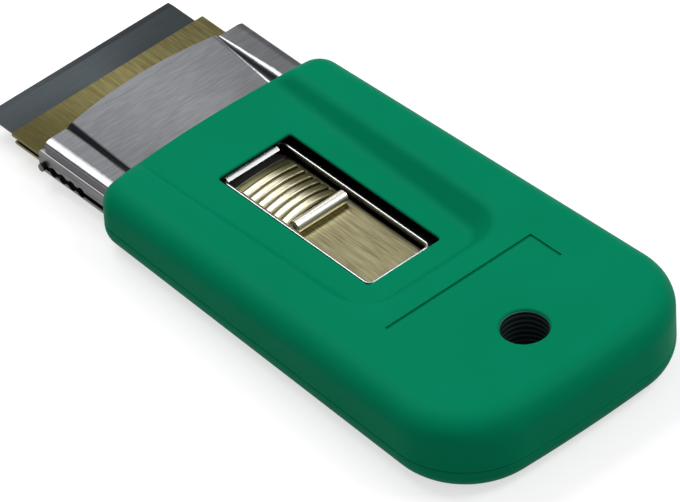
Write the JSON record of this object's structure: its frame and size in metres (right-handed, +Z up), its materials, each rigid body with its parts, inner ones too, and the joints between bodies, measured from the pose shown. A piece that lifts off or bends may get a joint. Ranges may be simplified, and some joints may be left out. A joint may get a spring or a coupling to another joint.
{
  "type": "hob scraper",
  "caption": "Flat ceramic hob scraper: plastic jacket with thumb window and hanging hole, folded steel sleeve, and a thumb slider that draws the single-edge blade in.",
  "frame": {"origin": "under the middle of the tool's overall box, on the surface it lies on", "axes": "+Z up from the flat underside, -Y towards the blade, +X across the tool"},
  "size_m": [0.0546, 0.1234, 0.0148],
  "materials": {
    "green_plastic": "satin moulded",
    "sleeve_steel": "brushed",
    "brass_sheet": "brushed, slightly tarnished",
    "dark_steel": "darkened",
    "spring_steel": "polished",
    "blade_steel": "ground, oiled"
  },
  "bodies": {
    "jacket": {"upper_shell": "green_plastic", "lower_shell": "green_plastic", "sleeve_cover": "sleeve_steel", "sleeve_tray": "sleeve_steel", "sleeve_rivets": "sleeve_steel"},
    "carrier": {"carrier_plate": "brass_sheet", "lower_jaw": "brass_sheet", "click_studs": "dark_steel", "jaw_rivets": "dark_steel", "blade": "blade_steel", "blade_back": "spring_steel", "thumb_pad": "brass_sheet", "drag_spring": "spring_steel", "spring_rivet": "dark_steel"}
  },
  "joints": [
    {"name": "carrier_slide", "type": "slide", "parent": "jacket", "child": "carrier", "axis": [0, 1, 0], "range_m": [0, 0.0175]}
  ]
}
